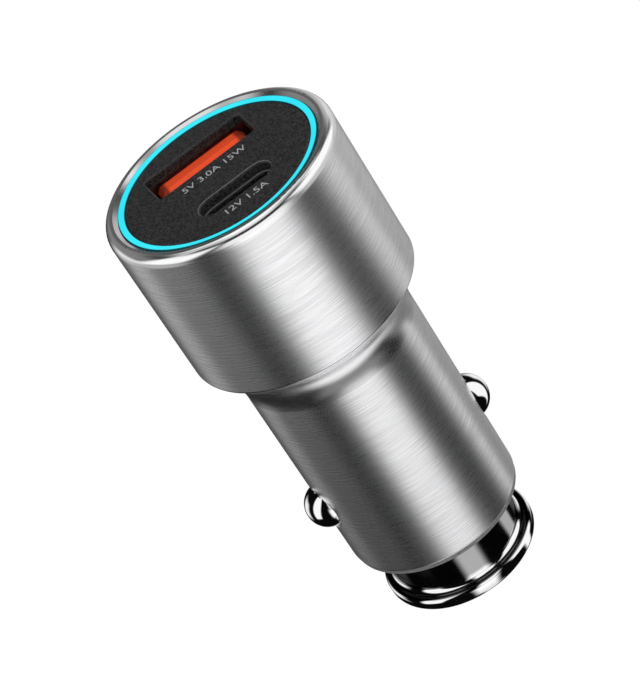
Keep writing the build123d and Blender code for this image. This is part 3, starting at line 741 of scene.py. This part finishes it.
def board_mask(inside):
    """Solder mask with a darker net of tracks under it."""
    material, tree, place, marks = grained("board mask", 0.3 * MM)
    tracks = add(
        tree,
        "ShaderNodeTexBrick",
        {"Vector": place, "Scale": 420.0, "Mortar Size": 0.08, "Brick Width": 0.9, "Row Height": 0.4},
        offset=0.4,
    ).outputs["Fac"]
    tone = total(tree, between(tree, tracks, 0.85, 1.5), varied(tree, marks["Speck"], -0.1, 0.1))
    return finished(
        material,
        Base_Color=tinted(tree, inside.mask, tone),
        Roughness=varied(tree, marks["Cloud"], 0.28, 0.4),
        Normal=bumped(tree, tracks, 0.15, GRAIN_DEPTH),
    )


def ferrite():
    material, tree, place, marks = grained("ferrite", 0.12 * MM)
    return finished(
        material,
        Base_Color=tinted(tree, (0.045, 0.045, 0.05), varied(tree, marks["Speck"], 0.6, 1.4)),
        Roughness=varied(tree, marks["Cloud"], 0.5, 0.7),
        Metallic=0.2,
        Normal=bumped(tree, marks["Speck"], 0.3, GRAIN_DEPTH),
    )


def capped_block(name, body, cap, axis, middle, half):
    """A small block whose two ends along one axis are plated."""
    material, tree, place, marks = grained(name, 0.15 * MM)
    away = maths(tree, "ABSOLUTE", maths(tree, "SUBTRACT", split(tree, place)[axis], middle))
    plated = maths(tree, "GREATER_THAN", away, half)
    tone = varied(tree, marks["Speck"], 0.85, 1.1)
    return finished(
        material,
        Base_Color=blended(tree, plated, tinted(tree, body, tone), tinted(tree, cap, tone)),
        Metallic=plated,
        Roughness=varied(tree, marks["Cloud"], 0.32, 0.46),
    )


# Mesh helpers


def placed(name, data):
    """An object in the scene for a mesh, a text, a lamp or a camera."""
    item = bpy.data.objects.new(name, data)
    bpy.context.scene.collection.objects.link(item)
    return item


def plain_mesh(bm, name, material):
    mesh = bpy.data.meshes.new(name)
    bm.to_mesh(mesh)
    bm.free()
    mesh.materials.append(material)
    return mesh


def finish_piece(bm, name, body, material, slot, *replaced):
    """Merges, turns faces outwards, and makes the piece that rides on a body."""
    bmesh.ops.remove_doubles(bm, verts=bm.verts, dist=MERGE_DISTANCE)
    bmesh.ops.recalc_face_normals(bm, faces=bm.faces)
    mesh = plain_mesh(bm, name, material)
    mesh.shade_smooth()
    mesh.set_sharp_from_angle(angle=SHARP_ANGLE)
    piece = placed(name, mesh)
    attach(piece, body)
    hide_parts(*replaced)
    return piece


def outline(bm, points, closed=True):
    """Vertices and edges through the given points."""
    verts = [bm.verts.new(point) for point in points]
    pairs = list(zip(verts, verts[1:]))
    if closed:
        pairs.append((verts[-1], verts[0]))
    for pair in pairs:
        bm.edges.new(pair)
    return verts


def round_corner(bm, corner, radius, segments):
    bmesh.ops.bevel(
        bm,
        geom=[corner],
        offset=radius,
        offset_type="OFFSET",
        affect="VERTICES",
        segments=segments,
        profile=0.5,
        material=-1,
    )


def sweep(bm, geom, centre, axis, angle, steps, rise=(0, 0, 0), close=False):
    """Sweeps points and edges round an axis, and gives the last ones."""
    swept = bmesh.ops.spin(
        bm,
        geom=geom,
        cent=centre,
        axis=axis,
        dvec=rise,
        angle=angle,
        steps=steps,
        use_merge=close,
        use_duplicate=False,
    )
    return swept["geom_last"]


def turn(bm, centre, axis, steps):
    """Turns the whole outline once round an axis."""
    sweep(bm, bm.verts[:] + bm.edges[:], centre, axis, math.tau, steps, close=True)


def coil(start, end, coil_radius, wire, open_turns):
    """A spring of round wire with a closed turn at each end."""
    bm = bmesh.new()
    run = end - start
    axis = run.normalized()
    side = Z_AXIS if abs(axis.x) > 0.5 else X_AXIS
    place = Matrix.Translation(start + axis * (wire / 2) + side * coil_radius)
    turned = axis.cross(side).to_track_quat("Z", "Y").to_matrix().to_4x4()
    bmesh.ops.create_circle(
        bm, cap_ends=False, segments=WIRE_SIDES, radius=wire / 2, matrix=place @ turned
    )
    open_pitch = (run.length - 3 * wire) / open_turns
    geom = bm.verts[:] + bm.edges[:]
    for pitch, turns in ((wire, 1), (open_pitch, open_turns), (wire, 1)):
        rise = axis * (pitch / COIL_STEPS)
        geom = sweep(bm, geom, start, axis, math.tau * turns, COIL_STEPS * turns, rise)
    bmesh.ops.holes_fill(bm, edges=[edge for edge in bm.edges if edge.is_boundary], sides=0)
    return bm


def spring(name, node, start, end, outer_radius, wire, open_turns, material):
    """A spring of round wire between two ends, on the root body."""
    bm = coil(start, end, outer_radius - wire / 2, wire, open_turns)
    piece = finish_piece(bm, name, ROOT, material, "spring_steel", node)
    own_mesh(piece)


def dress(node, material):
    """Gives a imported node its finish."""
    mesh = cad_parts[node].data
    mesh.materials.clear()
    mesh.materials.append(material)


def props(context):
    return context.scene.charger_plug


# Operators


class CHARGER_OT_shell(Operator):
    """Dress the turned shell"""

    bl_idname = "charger.shell"
    bl_label = "Shell"

    def execute(self, context):
        dress("outer_shell", brushed_shell(props(context).shell))
        return {"FINISHED"}


class CHARGER_OT_face(Operator):
    """Dress the ring and plate, and print the ratings"""

    bl_idname = "charger.face"
    bl_label = "Lit face"

    def execute(self, context):
        face = props(context).face
        dress("light_ring", lit_acrylic(face))
        dress("face_plate", face_grain(face))
        ink = printed_ink(face)
        self.print_row("print_upper", face.upper_row, face.upper_row_y, face.print_height, ink)
        self.print_row("print_lower", face.lower_row, face.lower_row_y, face.print_height, ink)
        return {"FINISHED"}

    def print_row(self, name, text, middle, height, ink):
        curve = bpy.data.curves.new(name + "_text", "FONT")
        curve.body = text
        curve.size = height / CAPITAL_SHARE
        curve.align_x = "CENTER"
        curve.align_y = "CENTER"
        curve.extrude = PRINT_DEPTH
        writer = placed(name + "_text", curve)
        bpy.context.view_layer.update()
        graph = bpy.context.evaluated_depsgraph_get()
        mesh = bpy.data.meshes.new_from_object(writer.evaluated_get(graph))
        bpy.data.objects.remove(writer)
        mesh.transform(Matrix.Translation((0, middle, face_z + PRINT_LIFT)))
        mesh.materials.clear()
        mesh.materials.append(ink)
        mesh.name = name
        piece = placed(name, mesh)
        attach(piece, ROOT)


class CHARGER_OT_sockets(Operator):
    """Dress both sockets"""

    bl_idname = "charger.sockets"
    bl_label = "Sockets"

    def execute(self, context):
        sockets = props(context).sockets
        gold = drawn_metal("pin gold", sockets.gold, 0.25, 2 * MM, 0.2 * MM)
        # The larger socket's shell gets the darkened, red-tinted steel: painted shade and painted bounce
        # light
        dress("usb_a_shell", drawn_metal("socket steel", sockets.steel, 0.35, 4 * MM, 0.3 * MM))
        dress("usb_c_shell", sheared_shell(sockets))
        dress("usb_a_insulator", orange_tongue(sockets))
        dress("usb_c_insulator", moulded("black tongue", sockets.black, 0.2 * MM, 0.45, 0.1))
        dress("usb_a_contacts", gold)
        dress("usb_c_contacts", gold)
        return {"FINISHED"}


class CHARGER_OT_side_contacts(Operator):
    """Model the side contacts and their springs"""

    bl_idname = "charger.side_contacts"
    bl_label = "Side contacts"

    def execute(self, context):
        contacts = props(context).contacts
        nickel = bright_plating("side nickel", contacts.nickel)
        wire = drawn_metal("side wire", contacts.wire, 0.3, 3 * MM, 0.2 * MM)
        for side, outward in (("right", 1), ("left", -1)):
            self.cap(contacts, side, outward, nickel)
            self.spring(contacts, side, outward, wire)
        return {"FINISHED"}

    def ends(self, node, outward):
        """Where a node starts near the axis and where it ends outside."""
        low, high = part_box(node)
        return (low.x, high.x) if outward > 0 else (high.x, low.x)

    def cap(self, contacts, side, outward, nickel):
        node = "side_contact_" + side
        back, tip = self.ends(node, outward)
        centre = tip - outward * contacts.side_radius
        front = back + outward * contacts.side_flange_height
        inner = contacts.side_radius - contacts.side_wall
        bm = bmesh.new()
        pole = bm.verts.new((tip, 0, side_contact_z))
        dome_middle = (centre, 0, side_contact_z)
        sweep(bm, [pole], dome_middle, Y_AXIS * -outward, math.pi / 2, DOME_STEPS)
        dome = bm.verts[:]
        dome_edge = Vector((centre, 0, side_contact_z + contacts.side_radius))
        shoulder = min(dome, key=lambda vert: (vert.co - dome_edge).length)
        rest = (
            (front, contacts.side_radius),
            (front, contacts.side_flange),
            (back, contacts.side_flange),
            (back, inner),
            (centre, inner),
            (centre, 0),
        )
        chain = outline(bm, [(x, 0, side_contact_z + r) for x, r in rest], closed=False)
        bm.edges.new((shoulder, chain[0]))
        for corner in chain[:3]:
            round_corner(bm, corner, contacts.side_round, 3)
        turn(bm, (0, 0, side_contact_z), X_AXIS, contacts.steps)
        finish_piece(bm, "cap_" + side, node, nickel, "contact_nickel", node)

    def spring(self, contacts, side, outward, material):
        node = "side_spring_" + side
        low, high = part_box(node)
        start, end = (Vector((x, 0, side_contact_z)) for x in self.ends(node, outward))
        radius = (high.z - low.z) / 2
        wire = contacts.side_wire
        turns = contacts.open_turns
        spring("coil_" + side, node, start, end, radius, wire, turns, material)


class CHARGER_OT_nose(Operator):
    """Model the tip ring, the centre contact and its spring, and dress the nose"""

    bl_idname = "charger.nose"
    bl_label = "Nose"

    def execute(self, context):
        contacts = props(context).contacts
        inside = props(context).inside
        nickel = bright_plating("centre nickel", contacts.nickel)
        wire = drawn_metal("centre wire", contacts.wire, 0.3, 3 * MM, 0.2 * MM)
        self.ring(contacts, ring_plating(contacts))
        self.contact(contacts, nickel)
        self.spring(contacts, wire)
        dress("nose_insulator", moulded("nose grain", inside.nose, 0.2 * MM, 0.45, 0.1))
        dress("positive_terminal", drawn_metal("terminal brass", inside.brass, 0.3, 3 * MM, 0.2 * MM))
        return {"FINISHED"}

    def ring(self, contacts, chrome):
        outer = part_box("tip_ring")[1].x
        shoulder = tip_ring_end_z + contacts.ring_flange
        lip_top = tip_ring_end_z + contacts.ring_lip
        bm = bmesh.new()
        corners = outline(
            bm,
            [
                (contacts.ring_bore, 0, nose_flange_z),
                (contacts.ring_neck, 0, nose_flange_z),
                (contacts.ring_neck, 0, shoulder),
                (outer, 0, shoulder),
                (outer, 0, tip_ring_end_z),
                (contacts.ring_lip_bore, 0, tip_ring_end_z),
                (contacts.ring_lip_bore, 0, lip_top),
                (contacts.ring_bore, 0, lip_top),
            ],
        )
        for corner, radius, segments in (
            (corners[1], 0.15 * MM, 4),
            (corners[2], contacts.ring_foot, 10),
            (corners[3], contacts.ring_round, 14),
            (corners[4], contacts.ring_round, 14),
            (corners[5], 0.3 * MM, 5),
        ):
            round_corner(bm, corner, radius, segments)
        turn(bm, (0, 0, 0), Z_AXIS, contacts.steps)
        finish_piece(bm, "ring", ROOT, chrome, "ring_chrome", "tip_ring")

    def contact(self, contacts, nickel):
        low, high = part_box("centre_contact")
        dome_start = low.z + contacts.centre_dome
        cup = contacts.centre_radius - contacts.centre_wall
        dome_radius = (contacts.centre_radius**2 + contacts.centre_dome**2) / (2 * contacts.centre_dome)
        angle = math.asin(contacts.centre_radius / dome_radius)
        bm = bmesh.new()
        pole = bm.verts.new((0, 0, low.z))
        sweep(bm, [pole], (0, 0, low.z + dome_radius), -Y_AXIS, angle, NOSE_STEPS)
        edge = max(bm.verts, key=lambda vert: vert.co.x)
        flange_bottom = high.z - contacts.flange_thickness
        chain = outline(
            bm,
            [
                (contacts.centre_radius, 0, flange_bottom),
                (contacts.centre_flange, 0, flange_bottom),
                (contacts.centre_flange, 0, high.z),
                (cup, 0, high.z),
                (cup, 0, dome_start),
                (0, 0, dome_start),
            ],
            closed=False,
        )
        bm.edges.new((edge, chain[0]))
        for corner, radius in (
            (edge, 0.4 * MM),
            (chain[1], 0.1 * MM),
            (chain[2], 0.15 * MM),
            (chain[3], 0.1 * MM),
        ):
            round_corner(bm, corner, radius, 4)
        turn(bm, (0, 0, 0), Z_AXIS, contacts.steps)
        finish_piece(bm, "tip", "centre_contact", nickel, "contact_nickel", "centre_contact")

    def spring(self, contacts, material):
        node = "centre_spring"
        low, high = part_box(node)
        start = Vector((0, 0, high.z))
        end = Vector((0, 0, low.z))
        radius = (high.x - low.x) / 2
        wire = contacts.centre_wire
        turns = contacts.open_turns
        spring("coil_centre", node, start, end, radius, wire, turns, material)


class CHARGER_OT_circuit(Operator):
    """Dress the boards, the circuit pieces and the core"""

    bl_idname = "charger.circuit"
    bl_label = "Circuit"

    def execute(self, context):
        inside = props(context).inside
        mask = board_mask(inside)
        can = drawn_metal("can aluminium", (0.78, 0.78, 0.80), 0.3, 4 * MM, 0.2 * MM)
        chip = moulded("chip black", (0.02, 0.02, 0.022), 0.15 * MM, 0.6, 0.2)
        low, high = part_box("input_fuse")
        middle = (low.y + high.y) / 2
        bare = (high.y - low.y) / 2 - inside.fuse_cap
        fuse = capped_block("fuse", (0.80, 0.78, 0.72), (0.72, 0.72, 0.73), "Y", middle, bare)
        for node, material in (
            ("port_board", mask),
            ("main_board", mask),
            ("ring_lamps", moulded("lamp resin", (0.85, 0.85, 0.78), 0.3 * MM, 0.3, 0.05)),
            ("power_inductor", ferrite()),
            ("input_capacitor", can),
            ("output_capacitor", can),
            ("converter_chip", chip),
            ("charge_controller", chip),
            ("input_fuse", fuse),
            ("chip_passives", moulded("passives", (0.30, 0.20, 0.13), 0.2 * MM, 0.4, 0.05)),
            ("inner_core", moulded("core black", inside.plastic, 0.25 * MM, 0.5, 0.1)),
        ):
            dress(node, material)
        return {"FINISHED"}


class CHARGER_OT_stage(Operator):
    """Set the floor, the tents, the lamps and the camera"""

    bl_idname = "charger.stage"
    bl_label = "Stage"

    def execute(self, context):
        stage = props(context).stage
        context.scene.view_settings.view_transform = "Standard"
        self.world(context.scene)
        self.floor(stage)
        chromed = [bpy.data.objects[name] for name in CHROMED]
        others = [item for item in context.scene.objects if item.type == "MESH" and item not in chromed]
        self.tent(stage, "tent", PANELS, stage.tent_radius, others)
        self.tent(stage, "chrome_tent", CHROME_PANELS, stage.chrome_tent_radius, chromed, clear=True)
        self.lamps(stage)
        self.camera(stage)
        return {"FINISHED"}

    def seen(self, tree):
        """One where the camera, a mirror or clear glass sees the stage, and none where light is gathered."""
        path = add(tree, "ShaderNodeLightPath").outputs
        glossy = maths(tree, "MAXIMUM", path["Is Camera Ray"], path["Is Glossy Ray"])
        return maths(tree, "MAXIMUM", glossy, path["Is Transmission Ray"])

    def world(self, scene):
        scene.world = bpy.data.worlds.new("white room")
        tree = empty_tree(scene.world)
        strength = between(tree, self.seen(tree), 0.40, 1.0)
        white = add(tree, "ShaderNodeBackground", {"Color": WHITE, "Strength": strength})
        show(tree, white, "ShaderNodeOutputWorld")

    def stage_mesh(self, bm, name, material):
        item = placed(name, plain_mesh(bm, name, material))
        return item

    def floor(self, stage):
        material = bpy.data.materials.new("pale floor")
        tree = empty_tree(material)
        paint = add(tree, "ShaderNodeBsdfDiffuse", {"Color": (0.9, 0.9, 0.9, 1)})
        white = add(tree, "ShaderNodeEmission", {"Color": WHITE, "Strength": 1.1})
        share = product(tree, self.seen(tree), 0.85)
        show(tree, add(tree, "ShaderNodeMixShader", {0: share, 1: paint.outputs[0], 2: white.outputs[0]}))
        middle = Matrix.Translation((0, 0, stage.floor_z))
        bm = bmesh.new()
        bmesh.ops.create_circle(bm, cap_ends=True, segments=96, radius=stage.floor_radius, matrix=middle)
        self.stage_mesh(bm, "floor", material).visible_glossy = False

    def tent(self, stage, name, panels, radius, pieces, clear=False):
        """A round tent of soft panels, seen by the reflections in the given pieces alone."""
        material = bpy.data.materials.new(name)
        material.cycles.emission_sampling = "NONE"
        tree = empty_tree(material)
        place = add(tree, "ShaderNodeTexCoord").outputs["Object"]
        middle = Vector((0, 0, side_contact_z))
        away = vectors(tree, "SUBTRACT", place, middle)
        turned = {"Vector": away, "Angle": -stage.azimuth}
        facing = add(tree, "ShaderNodeVectorRotate", turned, rotation_type="Z_AXIS").outputs[0]
        parts = split(tree, vectors(tree, "NORMALIZE", facing))
        height = maths(tree, "DEGREES", maths(tree, "ARCSINE", parts["Z"]))
        front = maths(tree, "ARCTAN2", parts["X"], product(tree, parts["Y"], -1.0))
        rear = maths(tree, "ARCTAN2", product(tree, parts["X"], -1.0), parts["Y"])
        angles = {"front": maths(tree, "DEGREES", front), "rear": maths(tree, "DEGREES", rear)}
        strength = DARK_CLOTH
        for side, *values in panels:
            edges = dict(zip(PANEL_INPUTS, values))
            panel = use_group(tree, soft_panel(), Angle=angles[side], Height=height, **edges)
            strength = total(tree, strength, panel["Level"])
        light = add(tree, "ShaderNodeEmission", {"Color": WHITE, "Strength": strength})
        if clear:
            gauze = add(tree, "ShaderNodeBsdfTransparent")
            light = add(tree, "ShaderNodeAddShader", {0: light.outputs[0], 1: gauze.outputs[0]})
        show(tree, light)
        bm = bmesh.new()
        bmesh.ops.create_uvsphere(
            bm, u_segments=96, v_segments=48, radius=radius, matrix=Matrix.Translation(middle)
        )
        wall = self.stage_mesh(bm, name, material)
        lit = bpy.data.collections.new(name + " lights")
        for piece in pieces:
            lit.objects.link(piece)
        wall.light_linking.receiver_collection = lit
        wall.visible_camera = False
        wall.visible_diffuse = False
        wall.visible_shadow = False
        wall.visible_transmission = False

    def lamps(self, stage):
        """Soft lamps for the matte surfaces."""
        for name, place, size, share in (
            ("top_lamp", (-0.12, 0.05, 0.45), 0.35, 0.3),
            ("front_lamp", (0.05, -0.42, 0.38), 0.30, 1.3),
            ("back_lamp", (0.1, 0.5, 0.2), 0.30, 0.3),
        ):
            lamp = bpy.data.lights.new(name, "AREA")
            lamp.shape = "DISK"
            lamp.size = size
            lamp.energy = stage.lamp_power * share
            item = placed(name, lamp)
            item.location = place
            item.rotation_mode = "QUATERNION"
            item.rotation_quaternion = (-Vector(place)).to_track_quat("-Z", "Y")
            item.visible_glossy = False

    def camera(self, stage):
        """Places the camera from its turn, height, roll and distance to the face."""
        azimuth, elevation = stage.azimuth, stage.elevation
        right = Vector((math.cos(azimuth), math.sin(azimuth), 0))
        level = Vector((math.sin(azimuth), -math.cos(azimuth), 0))
        back = level * math.cos(elevation) + Z_AXIS * math.sin(elevation)
        up = back.cross(right)
        rolled_right = right * math.cos(stage.roll) + up * math.sin(stage.roll)
        rolled_up = up * math.cos(stage.roll) - right * math.sin(stage.roll)
        place = Vector((0, 0, face_z)) + back * stage.distance
        place += rolled_right * stage.across + rolled_up * stage.upward
        lens = bpy.data.cameras.new("camera")
        lens.lens = stage.lens
        lens.sensor_width = SENSOR_WIDTH
        lens.clip_start = 0.01
        lens.clip_end = 20
        item = placed("camera", lens)
        turned = Matrix((rolled_right, rolled_up, back)).transposed().to_4x4()
        item.matrix_world = Matrix.Translation(place) @ turned
        bpy.context.scene.camera = item


class CHARGER_PG_plug(PropertyGroup):
    """All settings of the charger plug"""

    shell: PointerProperty(type=CHARGER_PG_shell, name="Shell", description="Finish of the shell")
    face: PointerProperty(type=CHARGER_PG_face, name="Face", description="Ring, plate and print")
    sockets: PointerProperty(type=CHARGER_PG_sockets, name="Sockets", description="Finish of the sockets")
    contacts: PointerProperty(type=CHARGER_PG_contacts, name="Contacts", description="Contacts and ring")
    inside: PointerProperty(type=CHARGER_PG_inside, name="Inside", description="Boards, core and nose")
    stage: PointerProperty(type=CHARGER_PG_stage, name="Stage", description="Camera, tent, lamps and floor")


STEPS = (
    ("shell", CHARGER_OT_shell),
    ("face", CHARGER_OT_face),
    ("sockets", CHARGER_OT_sockets),
    ("contacts", CHARGER_OT_side_contacts),
    ("contacts", CHARGER_OT_nose),
    ("inside", CHARGER_OT_circuit),
    ("stage", CHARGER_OT_stage),
)


class CHARGER_PT_sidebar(Panel):
    """Lists the steps and their settings"""

    bl_idname = "CHARGER_PT_sidebar"
    bl_label = "Charger plug"
    bl_space_type = "VIEW_3D"
    bl_region_type = "UI"
    bl_category = "Charger"

    def draw(self, context):
        for group, step in STEPS:
            box = self.layout.box()
            box.operator(step.bl_idname)
            settings = getattr(props(context), group)
            for name in settings.__annotations__:
                box.prop(settings, name)


CLASSES = (
    CHARGER_PG_shell,
    CHARGER_PG_face,
    CHARGER_PG_sockets,
    CHARGER_PG_contacts,
    CHARGER_PG_inside,
    CHARGER_PG_stage,
    CHARGER_PG_plug,
    *(step for _, step in STEPS),
    CHARGER_PT_sidebar,
)


def register():
    for item in CLASSES:
        bpy.utils.register_class(item)
    bpy.types.Scene.charger_plug = PointerProperty(type=CHARGER_PG_plug)


def unregister():
    del bpy.types.Scene.charger_plug
    for item in reversed(CLASSES):
        bpy.utils.unregister_class(item)


def main():
    register()
    bpy.ops.charger.shell()
    bpy.ops.charger.face()
    bpy.ops.charger.sockets()
    bpy.ops.charger.side_contacts()
    bpy.ops.charger.nose()
    bpy.ops.charger.circuit()
    bpy.ops.charger.stage()


if __name__ == "__main__":
    main()
